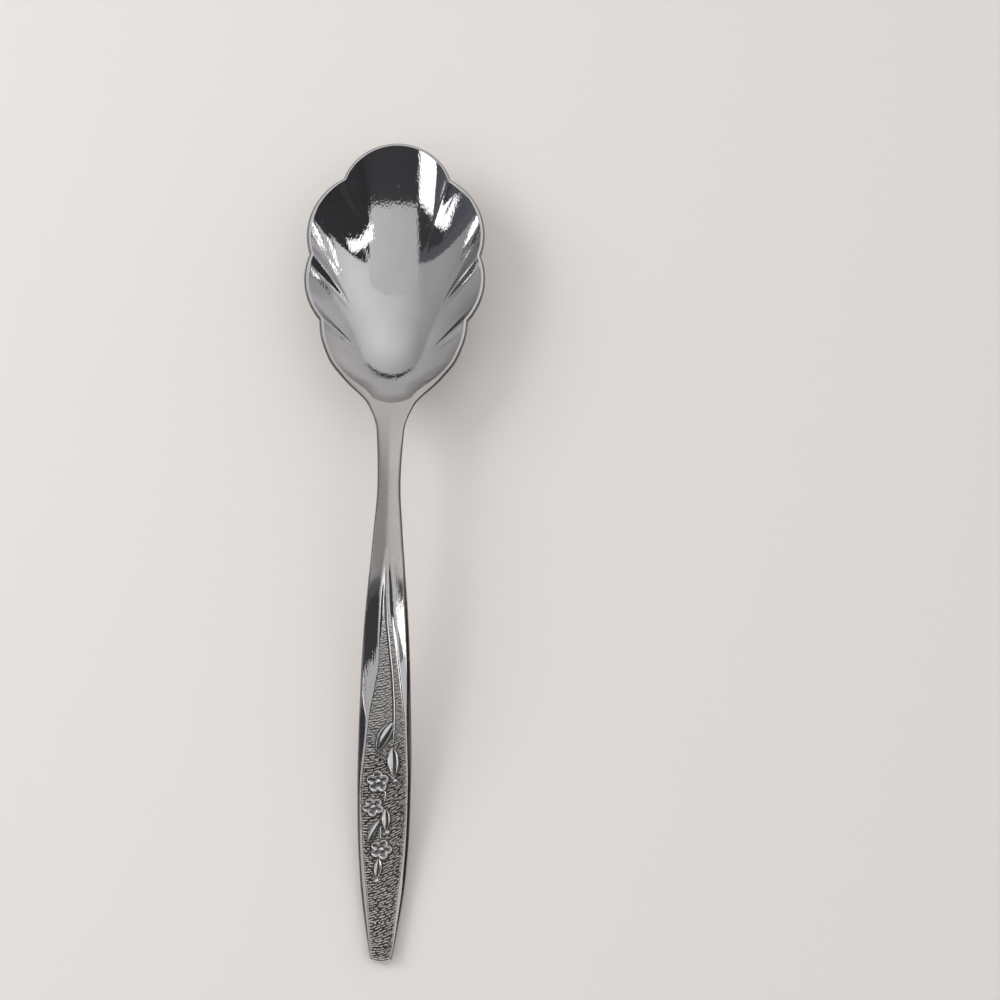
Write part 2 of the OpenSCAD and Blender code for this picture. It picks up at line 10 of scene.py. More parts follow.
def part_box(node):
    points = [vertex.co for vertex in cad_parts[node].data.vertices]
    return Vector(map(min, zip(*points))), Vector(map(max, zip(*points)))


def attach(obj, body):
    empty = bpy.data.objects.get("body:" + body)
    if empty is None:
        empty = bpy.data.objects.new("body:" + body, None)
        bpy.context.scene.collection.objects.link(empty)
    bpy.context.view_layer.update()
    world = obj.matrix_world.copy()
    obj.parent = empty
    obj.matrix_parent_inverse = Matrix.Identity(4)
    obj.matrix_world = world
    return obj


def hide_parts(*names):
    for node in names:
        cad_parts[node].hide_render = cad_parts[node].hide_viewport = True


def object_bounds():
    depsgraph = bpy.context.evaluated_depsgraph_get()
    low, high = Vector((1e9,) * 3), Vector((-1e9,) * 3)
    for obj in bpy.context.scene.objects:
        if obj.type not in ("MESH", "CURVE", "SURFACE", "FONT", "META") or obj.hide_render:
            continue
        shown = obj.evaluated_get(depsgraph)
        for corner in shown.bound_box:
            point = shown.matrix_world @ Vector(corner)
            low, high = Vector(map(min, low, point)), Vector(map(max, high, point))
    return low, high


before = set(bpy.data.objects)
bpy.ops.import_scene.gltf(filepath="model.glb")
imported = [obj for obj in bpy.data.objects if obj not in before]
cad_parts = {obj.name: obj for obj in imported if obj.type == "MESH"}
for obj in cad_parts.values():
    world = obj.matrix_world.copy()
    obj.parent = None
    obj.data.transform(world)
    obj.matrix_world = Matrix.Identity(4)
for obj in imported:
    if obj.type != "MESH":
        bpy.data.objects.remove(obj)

MM = 0.001
cad_low, cad_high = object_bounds()

# Places along the spoon come from the frame; all shapes below are in millimetres
end_y = cad_low.y / MM
tip_y = cad_high.y / MM
cut_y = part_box("bowl")[0].y / MM
panel_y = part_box("handle")[1].y / MM
rest_y = -64
arch_height = cad_high.z / MM

half_bowl = 17
half_neck = 2.1
half_handle = 4.85
tip_height = 9.3
heel_height = 11.7
wall = 1
end_thickness = 2
end_bulge = 0.5
end_reach = 6

# Half-width of the heel, the neck and the handle at places along the length
width_points = [
    (end_y, 0.39 * half_handle), (-70, 0.6 * half_handle), (-62, 0.83 * half_handle),
    (-52, 0.965 * half_handle), (-42, half_handle), (-26, 0.925 * half_handle),
    (-18, 0.85 * half_handle), (0, 0.55 * half_handle), (9, half_neck), (19, 1.2 * half_neck),
    (cut_y, 2 * half_neck), (29, 0.525 * half_bowl), (33, 0.7 * half_bowl),
    (38, 0.8 * half_bowl), (40.5, 0.815 * half_bowl)]

# Heights of the ridge and of the underside, fall of the top and lift of the underside towards the edges
ridge_points = [
    (end_y, end_thickness), (rest_y, end_thickness + 0.5), (-54, 3.85), (-42, 6.25), (-28, 9.15), (-18, 11.2),
    (-8, 12.65), (2, arch_height - 0.3), (11, arch_height), (19, heel_height + 1), (cut_y, heel_height)]
under_points = [
    (end_y, 0), (rest_y, 0), (-54, 1.55), (-42, 3.95), (-28, 6.75), (-18, 8.7), (-8, 10.1),
    (2, arch_height - 3), (11, arch_height - 2.8), (19, arch_height - 2.7), (cut_y, heel_height - wall)]
fall_points = [
    (end_y, 0.25), (-60, 0.5), (-52, 0.65), (-44, 0.7), (-34, 0.7), (-26, 0.65), (-19, 1), (-8, 1),
    (11, 0.6), (cut_y, 0)]
lift_points = [(end_y, 0), (rest_y, 0), (-50, 0.25), (-28, 0.45), (11, 0.7), (cut_y, 0)]
ridge_power = 1.3

# Bevel along the sides: its reach in from the side, how far it falls away and how softly it begins
edge_left_points = [
    (end_y, 0.12), (-70, 0.3), (-58, 0.4), (-46, 0.5), (-42, 0.7), (-36, 1.3), (-33.5, 1.4), (-31, 0.8),
    (-28, 0.4), (-10, 0.5), (8, 0.8), (cut_y, 0.4)]
edge_right_points = [
    (end_y, 0.12), (-70, 0.3), (-58, 0.5), (-46, 0.55), (-34, 0.8), (-26, 0.6), (-10, 0.7), (8, 0.8),
    (cut_y, 0.4)]
bevel_points = [
    (end_y, 0.3), (-58, 0.4), (-46, 0.45), (-36, 0.85), (-32, 0.8), (-26, 0.5), (-10, 0.35), (8, 0.4),
    (cut_y, 0.5)]
crisp_points = [(-22, 0.5), (-12, 1)]
foot_round = 0.4

# Distance of the panel's two sides from the middle of the handle, and the run of the lips down to its ground
panel_left_points = [
    (end_y, 1.65), (-64, 2.8), (-56, 3.6), (-46, 4), (-40, 3.5), (-33, 2.8), (-28, 1.9), (-23, 1.2),
    (-14, 1.15), (-9, 1), (panel_y, 0.4)]
panel_right_points = [
    (end_y, 1.65), (-64, 2.75), (-56, 3.6), (-47, 4), (-34, 3.6), (-28, 3.1), (-21, 2.25), (-14, 1.6),
    (-9, 1.15), (panel_y, 0.4)]
lip_left_points = [(end_y, 0.12), (-30, 0.2), (-21, 0.25), (-14, 0.65), (-9, 0.75), (panel_y, 0.25)]
lip_right_points = [
    (end_y, 0.12), (-34, 0.2), (-28, 0.4), (-21, 0.6), (-14, 1.1), (-9, 0.9), (panel_y, 0.25)]
panel_sink = 0.25
panel_thickness = 0.5
sink_run = 9
lip_round = 0.08
end_round = 0.45
end_limit = 0.97

# The bowl's floor is lowest at floor_y, and the flutes fan out from the hinge along bent lines
floor_y = 46
hinge = np.array([0.0, 31.0])
bend_y = 37
fan_bend = 0.5
bowl_curve = 2.2

# Reach of the smooth hollow around its lowest point: all around, more to the tip, less across and
# more at the corners; then where the flutes start on the way out and how fast they grow
hollow_reach = 19.5
tip_reach = 3.3
side_reach = -4.6
corner_reach = 0.7
flute_start = 0.4
flute_power = 2.2

# Pleats at the cusps: where they start, their heights at the rim, the width of their sides up and down
# the rim, how soft their feet are and how fast they grow
pleat_starts = [0.72, 0.55, 0.55]
pleat_heights = [0.35, 1.3, 1]
pleat_up = 4.4
pleat_down = 2.2
pleat_soft = 0.05
pleat_growth = 5

# Rim: its cusps, the rise of the lobes between them, its heights along the spoon and its rounding
cusps = [(0.595 * half_bowl, 68.7), (0.945 * half_bowl, 53.4), (0.815 * half_bowl, 40.5)]
lobe_rises = [2.95, 1.8]
rim_points = [(cut_y, heel_height), (27, 11.1), (38, 10.6), (56, 10.1), (tip_y, tip_height)]
rim_edge = 0.4
rim_bulge = 0.1
rim_inset = 0.04

# Heel: where the rim turns flat, and its shape there
heel_turn = 31
heel_reach = 7
heel_shift = np.array([-0.6, 1.5])
heel_sag = 0.4

# Sprig: leaves as base, tip, width, bend and place of the vein across; blossoms as centre, radii and turn;
# stem and stalks as (along, across) points
relief = 0.4
stem_width = 0.4
stem_relief = 0.15
stalk_width = 0.58
leaves = {
    "leaf_1": ((1.5, -33.8), (-1.4, -39.3), 2.4, -0.3, 0.55),
    "leaf_2": ((1.4, -38.2), (1.8, -43.8), 2.3, 0, 0.3),
    "leaf_3": ((0.25, -49), (0.4, -53.1), 1.75, 0.1, 0.3),
    "leaf_4": ((-0.75, -51.1), (-2.9, -55.1), 1.45, -0.15, 0.6),
    "leaf_5": ((-0.75, -57.8), (-1.05, -61.6), 1.6, 0, 0.1)}
blossoms = {
    "blossom_1": ((-1.1, -44.35), (2.05, 2), 20),
    "blossom_2": ((-1.9, -48.8), (1.95, 1.7), 50),
    "blossom_3": ((-0.35, -56.3), (2, 1.8), 0)}
stem_path = [(-38.4, 1.6), (-33, 1.75), (-27, 1.5), (-21, 0.85), (-15, 0.2), (-7, -0.15)]
bud_stalk = [(-44.1, 1.95), (-43.5, 1.35), (-42.8, 0.6)]
flower_link = [(-48, 0), (-47.3, 0.25), (-46.5, 0.3), (-45.8, 0.05)]
flower_stalk = [(-54.6, -0.45), (-53.4, -0.5), (-52, -0.5)]
bud_radius = 0.48
bud_rise = 1.2
bud_spots = [(2, -44.2), (0.7, -53.3), (-1.05, -61.8)]


# Curves and small helpers

def ease(t):
    """Smooth step from 0 to 1."""
    t = np.clip(t, 0, 1)
    return t * t * (3 - 2 * t)


def smooth(points, at):
    """Curve through (place, value) points in rising order of place, with no overshoot."""
    place, value = np.array(points, float).T
    rate = np.diff(value) / np.diff(place)
    slope = np.concatenate(([rate[0]], np.zeros(len(rate) - 1), [rate[-1]]))
    product = rate[:-1] * rate[1:]
    total = np.where(product > 0, rate[:-1] + rate[1:], 1)
    slope[1:-1] = np.where(product > 0, 2 * product / total, 0)
    i = np.clip(np.searchsorted(place, at, side="right") - 1, 0, len(rate) - 1)
    gap = place[i + 1] - place[i]
    t = np.clip((at - place[i]) / gap, 0, 1)
    step = value[i + 1] - value[i]
    bend = slope[i] * t * (1 - t) ** 2 - slope[i + 1] * t ** 2 * (1 - t)
    return value[i] + step * t * t * (3 - 2 * t) + gap * bend


def half_width(y):
    return smooth(width_points, y)


def top_height(x, y):
    return smooth(ridge_points, y) - smooth(fall_points, y) * (np.abs(x) / half_width(y)) ** ridge_power


def under_height(x, y):
    return smooth(under_points, y) + smooth(lift_points, y) * (x / half_width(y)) ** 2


def drawn_back(x, y):
    """Near the handle's end the corners are drawn back, so the end bulges."""
    share = np.clip((end_y + end_reach - y) / end_reach, 0, 1)
    return y + end_bulge * share ** 2 * (x / half_width(y)) ** 2


def end_rounded(z, y):
    """Heights drawn together towards the middle of the thickness in the last stretch before the end."""
    middle = (smooth(ridge_points, y) + smooth(under_points, y)) / 2
    past = np.clip((end_y + end_round - y) / end_round, 0, end_limit)
    return middle + (z - middle) * np.sqrt(1 - past ** 2)


# Panel: its sides, its sunk ground and the height of its walls

def panel_side(side, y):
    return side * smooth(panel_left_points if side < 0 else panel_right_points, y)


def sink(y):
    return panel_sink * ease((panel_y - y) / sink_run)


def ground(x, y):
    """Ground of the panel, straight across from one lip to the other and sunk below them."""
    left = panel_side(-1, y)
    right = panel_side(1, y)
    low = top_height(left, y)
    high = top_height(right, y)
    return low + (high - low) * (x - left) / (right - left) - sink(y)


def lip_x(side, y, t):
    """Place across on the panel's wall, from just outside the lip (t = 0) to its foot (t = 1)."""
    run = smooth(lip_left_points if side < 0 else lip_right_points, y)
    return panel_side(side, y) - side * (run * t - lip_round)


def lip_z(x, y, t):
    return top_height(x, y) + (ground(x, y) - top_height(x, y)) * ease(t)


# Meshes

sharp_angle = math.radians(60)


def add_piece(name, points, faces, material, hollow):
    """Smooth mesh from points in millimetres and their tarnish with painted shade, riding on the spoon in
    place of its node.
    """
    mesh = bpy.data.meshes.new(name)
    mesh.from_pydata((np.asarray(points) * MM).tolist(), [], faces)
    mesh.validate()
    mesh.polygons.foreach_set("use_smooth", np.ones(len(mesh.polygons), bool))
    mesh.set_sharp_from_angle(angle=sharp_angle)
    layer = mesh.attributes.new("hollow", "FLOAT", "POINT")
    layer.data.foreach_set("value", np.asarray(hollow, np.float32))
    mesh.materials.append(material)
    piece = bpy.data.objects.new(name + "_skin", mesh)
    bpy.context.scene.collection.objects.link(piece)
    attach(piece, "root")
    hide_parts(name)


def grid_faces(rows, columns, around=False, start=0):
    """Quads of a grid of points that is kept row by row; around joins its last column to its first."""
    j, i = np.meshgrid(np.arange(rows - 1), np.arange(columns if around else columns - 1), indexing="ij")
    a = start + j * columns + i
    b = start + j * columns + (i + 1) % columns
    return np.stack([a, b, b + columns, a + columns], -1).reshape(-1, 4).tolist()


def fan_faces(centre, ring, turned=False):
    pairs = zip(ring, ring[1:] + ring[:1])
    return [[centre, b, a] if turned else [centre, a, b] for a, b in pairs]


# Bowl

def arc(start, end, rise, steps):
    """Points along an arc that rises to the left of the way from start to end, without the end itself."""
    start = np.array(start)
    chord = np.array(end) - start
    half = np.linalg.norm(chord) / 2
    along = chord / (2 * half)
    aside = np.array([-along[1], along[0]])
    radius = (half ** 2 + rise ** 2) / (2 * rise)
    centre = start + chord / 2 - aside * (radius - rise)
    turn = 2 * math.atan(rise / half) * (2 * np.arange(steps) / steps - 1)
    return centre + radius * (np.outer(np.sin(turn), along) + np.outer(np.cos(turn), aside))


def rim_height(y):
    return smooth(rim_points, y)


def hollow_height(p):
    """Smooth hollow that the flutes are drawn into."""
    x = p[..., 0]
    y = p[..., 1] - floor_y
    a = np.arctan2(y, x)
    reach = hollow_reach + tip_reach * np.sin(a) + side_reach * np.cos(2 * a) + corner_reach * np.cos(4 * a)
    return wall + (rim_height(p[..., 1]) - wall) * (np.hypot(x, y) / reach) ** bowl_curve


def hollow_normal(p):
    """Unit normal of the smooth hollow, pointing up."""
    step = 0.05
    dx = np.array([step, 0])
    dy = np.array([0, step])
    gx = (hollow_height(p + dx) - hollow_height(p - dx)) / (2 * step)
    gy = (hollow_height(p + dy) - hollow_height(p - dy)) / (2 * step)
    n = np.stack([-gx, -gy, np.ones_like(gx)], -1)
    return n / np.linalg.norm(n, axis=-1, keepdims=True)


def unit(v):
    return v / np.linalg.norm(v, axis=-1, keepdims=True)


# Steps around the rim and rows of the skins; shares of the flat rim that have a row, from the inside out
lobe_steps = 56
heel_steps = 56
cut_steps = 16
bowl_rows = 64
outer_rows = 40
lip_rows = 7
near_rim = 0.993
rim_shares = (0.12, 0.5, 1)

# Where the outer skin turns towards the rim, a distance that is out of reach, and the strength of the painted
# shade that darkens edges
outer_turn = 0.5
far_away = 9.0
painted_shade_strength = 0.83


def right_half():
    """Outline from the tip down the right side to the corner of the neck, and its outward directions."""
    tip_left = (-cusps[0][0], cusps[0][1])
    tip = arc(tip_left, cusps[0], tip_y - cusps[0][1], 2 * lobe_steps)[lobe_steps:]
    second = arc(cusps[0], cusps[1], lobe_rises[0], lobe_steps)
    third = arc(cusps[1], cusps[2], lobe_rises[1], lobe_steps)
    y = np.linspace(cusps[2][1], cut_y, heel_steps + 1)
    heel = np.stack([half_width(y), y], -1)
    line = np.concatenate([tip, second, third, heel])
    before = np.concatenate([line[1:2] * [-1, 1], line[:-1]])
    after = np.concatenate([line[1:], 2 * line[-1:] - line[-2:-1]])
    way = unit(after - before)
    return line, np.stack([-way[:, 1], way[:, 0]], -1)


def rim_columns():
    """For each column of the bowl: the inner rim, the lip, the outer edge and the bulge between those two."""
    line, out = right_half()
    inside = 0.5
    rise = hollow_height(line) - hollow_height(line - inside * out)
    lean = rise / np.hypot(rise, inside)
    k = ease((heel_turn - line[:, 1]) / heel_reach)[:, None]
    turned = unit(out * (1 - k) + np.array([1, 0]) * k)
    inner = line - (wall * lean[:, None] * out) * (1 - k) + heel_shift * k
    lip = line - rim_edge * turned
    edge = line - turned * (rim_inset * (1 - k) + rim_edge * k)
    drop = wall * (np.sqrt(1 - lean ** 2)[:, None] * (1 - k) + k)
    bulge = turned * (rim_bulge * (1 - k) + rim_edge * k)

    # Columns across the cut, from the corner to the middle
    c = 1 - np.arange(1, cut_steps + 1)[:, None] / cut_steps
    corner = inner[-1]
    low = corner[1] - cut_y - heel_sag
    cut_inner = np.concatenate([corner[0] * c, cut_y + heel_sag + low * c ** 2], 1)
    cut_lip = np.concatenate([lip[-1, 0] * c, np.full_like(c, cut_y)], 1)
    inner = np.concatenate([inner, cut_inner])
    lip = np.concatenate([lip, cut_lip])
    edge = np.concatenate([edge, cut_lip])
    drop = np.concatenate([drop, np.full_like(c, wall)])
    bulge = np.concatenate([bulge, np.zeros_like(cut_lip)])

    def both(right):
        left = right[-2:0:-1] * ([-1, 1] if right.shape[1] == 2 else [1])
        return np.concatenate([right, left])
    return both(inner), both(lip), both(edge), both(drop)[:, 0], both(bulge)


def flute(s):
    return np.clip((s - flute_start) / (1 - flute_start), 0, 1) ** flute_power


def pleat_columns():
    """For each bowl column: its distance from the nearest cusp, in widths of a side, and that pleat."""
    line, out = right_half()
    gaps = np.linalg.norm(np.diff(line, axis=0), axis=1)
    along = np.concatenate([[0], np.cumsum(gaps)])
    past = along[:, None] - along[lobe_steps * np.arange(1, len(cusps) + 1)]
    reach = np.where(past > 0, past / pleat_down, -past / pleat_up)
    nearest = reach.argmin(1)
    far = np.full(cut_steps, far_away)
    reach = np.concatenate([reach.min(1), far])
    height = np.concatenate([np.array(pleat_heights)[nearest], 0 * far])
    start = np.concatenate([np.array(pleat_starts)[nearest], 0 * far])
    return [np.concatenate([right, right[-2:0:-1]]) for right in (reach, height, start)]


def pleat(s, columns):
    """Height of the pleats: straight-sided ridges that taper to a point at their inner end."""
    reach, height, start = columns
    grow = np.clip((s - start) / (1 - start), 0, 1)
    above = grow - reach * s
    return height * ease(pleat_growth * grow) * (above + np.sqrt(above ** 2 + pleat_soft ** 2)) / 2


def bowl(material):
    """Fluted bowl: an inner skin fanned out from the hinge, a flat rim, a rounded lip and an outer skin."""
    inner, lip, edge, drop, bulge = rim_columns()
    n = len(inner)
    pleats = pleat_columns()
    excess = hollow_height(inner) - rim_height(inner[:, 1]) + pleat(1, pleats)
    bend = fan_bend * np.maximum(inner[:, 1] - bend_y, 0)

    def at(s):
        plan = hinge + s[:, None, None] * (inner - hinge)
        plan[..., 1] += (s * (1 - s))[:, None] * bend
        z = hollow_height(plan) - excess * flute(s)[:, None] + pleat(s[:, None], pleats)
        return np.concatenate([plan, z[..., None]], -1)

    s = np.concatenate([np.arange(1, bowl_rows) / bowl_rows, [near_rim, 1]])
    skin = at(s)
    rows = [skin]
    tarnish = [np.zeros((len(skin), n))]
    for t in rim_shares:
        plan = inner + (lip - inner) * t
        rows.append(np.concatenate([plan, rim_height(plan[:, 1])[:, None]], 1)[None])
        tarnish.append(np.zeros((1, n)))
    lip_z_row = rim_height(lip[:, 1])
    turned = ease((heel_turn - edge[:, 1]) / heel_reach)
    edge_z = rim_height(inner[:, 1] * (1 - turned) + edge[:, 1] * turned) - drop
    for u in np.arange(1, lip_rows + 1) / lip_rows:
        share = (1 - math.cos(math.pi * u)) / 2
        plan = lip + (edge - lip) * share + bulge * math.sin(math.pi * u)
        z = lip_z_row + (edge_z - lip_z_row) * share
        rows.append(np.concatenate([plan, z[:, None]], 1)[None])
        # Painted shade: the rounded lip is darkened to stand for a dark reflection along the outline
        tarnish.append(np.full((1, n), painted_shade_strength))
    rim = np.concatenate([edge, edge_z[:, None]], 1)
    s = np.arange(outer_rows - 1, 0, -1) / outer_rows
    under = at(s)
    under = under - wall * hollow_normal(under[..., :2])
    reach = at(np.array([1.0]))
    reach = reach - wall * hollow_normal(reach[..., :2])
    under = under + (rim - reach) * ease((s - outer_turn) / (1 - outer_turn))[:, None, None]
    rows.append(under)
    tarnish.append(np.zeros((len(under), n)))
    rings = np.concatenate(rows)
    hollow = np.concatenate([np.concatenate(tarnish).ravel(), [0, 0]])
    top = np.array([*hinge, hollow_height(hinge[None])[0]])
    foot = top - wall * hollow_normal(hinge[None])[0]
    points = np.concatenate([rings.reshape(-1, 3), [top, foot]])
    last = (len(rings) - 1) * n
    faces = grid_faces(len(rings), n, around=True)
    faces += fan_faces(len(points) - 2, list(range(n)), turned=True)
    faces += fan_faces(len(points) - 1, list(range(last, last + n)))
    add_piece("bowl", points, faces, material, hollow)


# Neck and handle

neck_columns = 33
flank_columns = 10
lip_columns = 7
edge_columns = 12
under_columns = 17
blade_step = 0.4
end_steps = 8

# Painted shade along the blade: the stretch over which it moves from the whole bevel to its outer part, and
# how fast it sets in; the shade painted on the neck's right bevel; the dark crease painted beside the panel's
# right lip
edge_dark = (-14, -4)
edge_start = 0.38
edge_lead = 2
edge_run = 3
shade_points = [(-14, 0), (-6, 0.45), (14, 0.45), (22, 0)]
shade_run = 4
crease_points = [(-24, 0), (-22, 0.85), (-18.5, 0.5), (-15.5, 0)]
crease_soft = 0.15


def bevel_reach(side, y):
    return smooth(edge_left_points if side < 0 else edge_right_points, y)


def edge_ring(side, y):
    """Side of the blade from the top to the underside: a bevel that curves over, then a round foot."""
    rows = y[:, None]
    w = half_width(rows)
    r = bevel_reach(side, rows)
    u = np.linspace(0, math.pi / 2, edge_columns)[None]
    over_x = w - r + r * np.sin(u)
    fall = smooth(bevel_points, rows) * (1 - np.cos(u)) ** smooth(crisp_points, rows)
    over_z = top_height(over_x, rows) - fall
    side_z = over_z[:, -1:]
    foot_x = (w - foot_round + foot_round * np.cos(u))[:, 1:]
    foot_z = side_z + (under_height(foot_x, rows) - side_z) * np.sin(u)[:, 1:]
    return side * np.concatenate([over_x, foot_x], 1), np.concatenate([over_z, foot_z], 1)


def underside(y):
    inset = (half_width(y) - foot_round)[:, None]
    x = inset * np.linspace(1, -1, under_columns)[None, 1:-1]
    return x, under_height(x, y[:, None])


def blade(name, y, top_x, top_z, material, tarnish=0):
    """Closed blade from rows of its top, with painted shade on its rounded sides and an underside."""
    left_x, left_z = edge_ring(-1, y)
    right_x, right_z = edge_ring(1, y)
    low_x, low_z = underside(y)
    # Painted shade: the rounded sides darken from the bevel outwards, more on the neck's right bevel and at
    # the rounded end
    outer = ease((y[:, None] - edge_dark[0]) / (edge_dark[1] - edge_dark[0]))
    begin = edge_start * edge_columns * outer
    column = np.arange(left_x.shape[1])
    around = painted_shade_strength * ease((column - begin + edge_lead) / edge_run)
    shaded = np.maximum(around, smooth(shade_points, y[:, None]) * ease(column / shade_run))
    hollow = np.concatenate([around[:, ::-1], tarnish + 0 * top_x, shaded, 0 * low_x], 1)
    at_end = painted_shade_strength * ease((end_y + end_round - y) / end_round)[:, None]
    hollow = np.maximum(hollow, at_end)
    x = np.concatenate([left_x[:, ::-1], top_x, right_x, low_x], 1)
    z = np.concatenate([left_z[:, ::-1], top_z, right_z, low_z], 1)
    z = end_rounded(z, y[:, None])
    rows, columns = x.shape
    points = np.stack([x, drawn_back(x, y[:, None]), z], -1).reshape(-1, 3)
    faces = grid_faces(rows, columns, around=True)
    first = list(range(columns))
    last = list(range((rows - 1) * columns, rows * columns))
    faces += [first[::-1], last]
    add_piece(name, points, [f[::-1] for f in faces], material, hollow.ravel())


def neck(material):
    """Neck: from the flat heel over the ridged arch to the start of the panel."""
    y = np.linspace(cut_y, panel_y, int((cut_y - panel_y) / blade_step) + 1)
    rows = y[:, None]
    left = bevel_reach(-1, rows) - half_width(rows)
    right = half_width(rows) - bevel_reach(1, rows)
    x = left + (right - left) * np.linspace(0, 1, neck_columns)[None, 1:-1]
    blade("neck", y, x, top_height(x, rows), material)


def end_rows(step):
    """Places along the handle, closer together on the rounded end."""
    n = int((panel_y - end_y - end_round) / step)
    even = np.linspace(panel_y, end_y + end_round, n + 1)
    turn = np.arange(1, end_steps + 1) / end_steps
    return np.concatenate([even, end_y + end_round * (1 - np.sin(turn * math.pi / 2))])


def handle(material):
    """Handle: bevelled flanks, rounded lips and a recess that holds the panel."""
    y = end_rows(blade_step)
    rows = y[:, None]
    t = np.linspace(0, 1, lip_columns)[None]
    sides = {}
    for side in (-1, 1):
        wall_x = lip_x(side, rows, t)
        wall_z = lip_z(wall_x, rows, t)
        share = np.linspace(0, 1, flank_columns)[None, 1:-1]
        outside = side * (half_width(rows) - bevel_reach(side, rows))
        flank_x = outside + (wall_x[:, :1] - outside) * share
        foot_x = wall_x[:, -1:]
        foot_z = ground(foot_x, rows) - panel_thickness
        x = np.concatenate([flank_x, wall_x, foot_x], 1)
        z = np.concatenate([top_height(flank_x, rows), wall_z, foot_z], 1)
        sides[side] = (x, z)
    top_x = np.concatenate([sides[-1][0], sides[1][0][:, ::-1]], 1)
    top_z = np.concatenate([sides[-1][1], sides[1][1][:, ::-1]], 1)
    # Painted shade: a dark wedge on the flank beside the panel's right lip stands for a dark reflection there
    from_lip = top_x - lip_x(1, rows, 0)
    crease = smooth(crease_points, rows)
    dull = painted_shade_strength * ease((crease - from_lip) / crease_soft) * ease(crease / crease_soft)
    dull = np.where(from_lip > 0, dull, 0)
    blade("handle", y, top_x, top_z, material, dull)


# Stippled ground of the panel

noise_size = 64
noise_grid = np.random.default_rng(5).random((noise_size, noise_size))

# Dashes: the length and width of their cells, their slant and bend, the scatter of their places and turns,
# their half length and crest with the spread of each, and the width of a crest
dash_length = 0.76
dash_width = 0.45
dash_slope = 0.36
dash_bend = 0.09
dash_scatter = (0.25, 0.22)
dash_turn = 0.35
dash_reach = (0.45, 0.12)
dash_crest = (0.82, 0.18)
dash_round = 0.36

# Noise: its strength, the size of its cells across and along, and its shift across and along
along_wander = (0.2, 1.7, 1.9, 3, 0)
aside_wander = (0.35, 1.4, 1.6, 0, 9)
grit = (0.15, 0.25, 0.22, 0, 5)

# Relief of the ground and of the groove beside the stem, where the stipple fades, and how far the panel
# reaches into the walls and down into the recess
stipple_height = 0.08
groove_depth = 0.1
groove_width = 0.2
groove_offset = 0.85
groove_ends = (2, 5)
border_run = 0.15
fade_from = 10
fade_run = 7
faint_share = 0.15
tuck = 0.02
panel_fill = 0.9

# Tarnish of the ground in its hollows, painted shadow around the sprig, and less tarnish on the stretch that
# is kept clean
hollow_level = 0.52
hollow_contrast = 0.72
shade_reach = 0.34
shade_level = 0.9
clean_from = (-42, -30)
clean_share = 0.35
panel_step = 0.075
panel_columns = 96


def noise(x, y):
    """Smooth noise from -1 to 1 with cells of unit size."""
    i = np.floor(x).astype(int)
    j = np.floor(y).astype(int)
    a = ease(x - i)
    b = ease(y - j)

    def corner(di, dj):
        return noise_grid[(i + di) % noise_size, (j + dj) % noise_size]
    low = corner(0, 0) * (1 - a) + corner(1, 0) * a
    high = corner(0, 1) * (1 - a) + corner(1, 1) * a
    return 2 * (low * (1 - b) + high * b) - 1


def wander(x, y, kind):
    strength, across, along, shift_x, shift_y = kind
    return strength * noise(x / across + shift_x, y / along + shift_y)


def drawn(i, j, k):
    """Fixed random number from -1 to 1 for a cell of the stipple."""
    return 2 * noise_grid[(7 * i + 13 * k) % noise_size, (5 * j + 29 * k) % noise_size] - 1


def stipple(x, y):
    """Short slanting dashes in staggered rows, from -1 in the hollows to 1 on the crests."""
    a = x / dash_length + wander(x, y, along_wander)
    b = (y - dash_slope * x - dash_bend * x ** 2 / 2) / dash_width + wander(x, y, aside_wander)
    row = np.floor(b).astype(int)
    best = np.zeros_like(a)
    for dj in (-1, 0, 1):
        j = row + dj
        shifted = a + 0.5 * (j % 2)
        column = np.floor(shifted).astype(int)
        for di in (-1, 0, 1):
            i = column + di
            u = shifted - i - 0.5 - dash_scatter[0] * drawn(i, j, 1)
            v = b - j - 0.5 - dash_scatter[1] * drawn(i, j, 2) - dash_turn * drawn(i, j, 3) * u
            long = dash_reach[0] + dash_reach[1] * drawn(i, j, 4)
            crest = dash_crest[0] + dash_crest[1] * drawn(i, j, 5)
            best = np.maximum(best, crest * np.exp(-(u / long) ** 4 - (v / dash_round) ** 2))
    return 2 * best - 1 + wander(x, y, grit)


def leaf_swell(t):
    """Share of its full width that a leaf has at t of the way from its base to its tip."""
    return leaf_point + (1 - leaf_point) * np.sin(math.pi * np.clip(t, 0, 1) ** leaf_lean) ** leaf_round


def beside_sprig(x, y):
    """How close the ground is to a leaf or a blossom, 1 at its foot and 0 well away from it."""
    gap = np.full(np.broadcast(x, y).shape, far_away)
    for base, tip, width, bend, vein in leaves.values():
        way = np.subtract(tip, base)
        length = np.hypot(*way)
        t = ((x - base[0]) * way[0] + (y - base[1]) * way[1]) / length ** 2
        aside = ((y - base[1]) * way[0] - (x - base[0]) * way[1]) / length - bend * 4 * t * (1 - t)
        past_side = np.maximum(np.abs(aside) - leaf_swell(t) * width / 2, 0)
        past_end = np.maximum(np.abs(t - 0.5) - 0.5, 0) * length
        gap = np.minimum(gap, np.hypot(past_side, past_end))
    for centre, radii, turn in blossoms.values():
        u = (x - centre[0]) / radii[0]
        v = (y - centre[1]) / radii[1]
        past = np.hypot(u, v) - blossom_edge(np.arctan2(v, u), math.radians(turn))
        gap = np.minimum(gap, radii[0] * np.maximum(past, 0))
    return np.exp(-(gap / shade_reach) ** 2)


def stem_groove(x, y):
    """Share of the groove that runs along the left side of the stem."""
    beside = (x - smooth(stem_path, y) + groove_offset * stem_width) / groove_width
    along = ease((y - stem_path[0][0]) / groove_ends[0]) * ease((stem_path[-1][0] - y) / groove_ends[1])
    return np.exp(-beside ** 2) * along


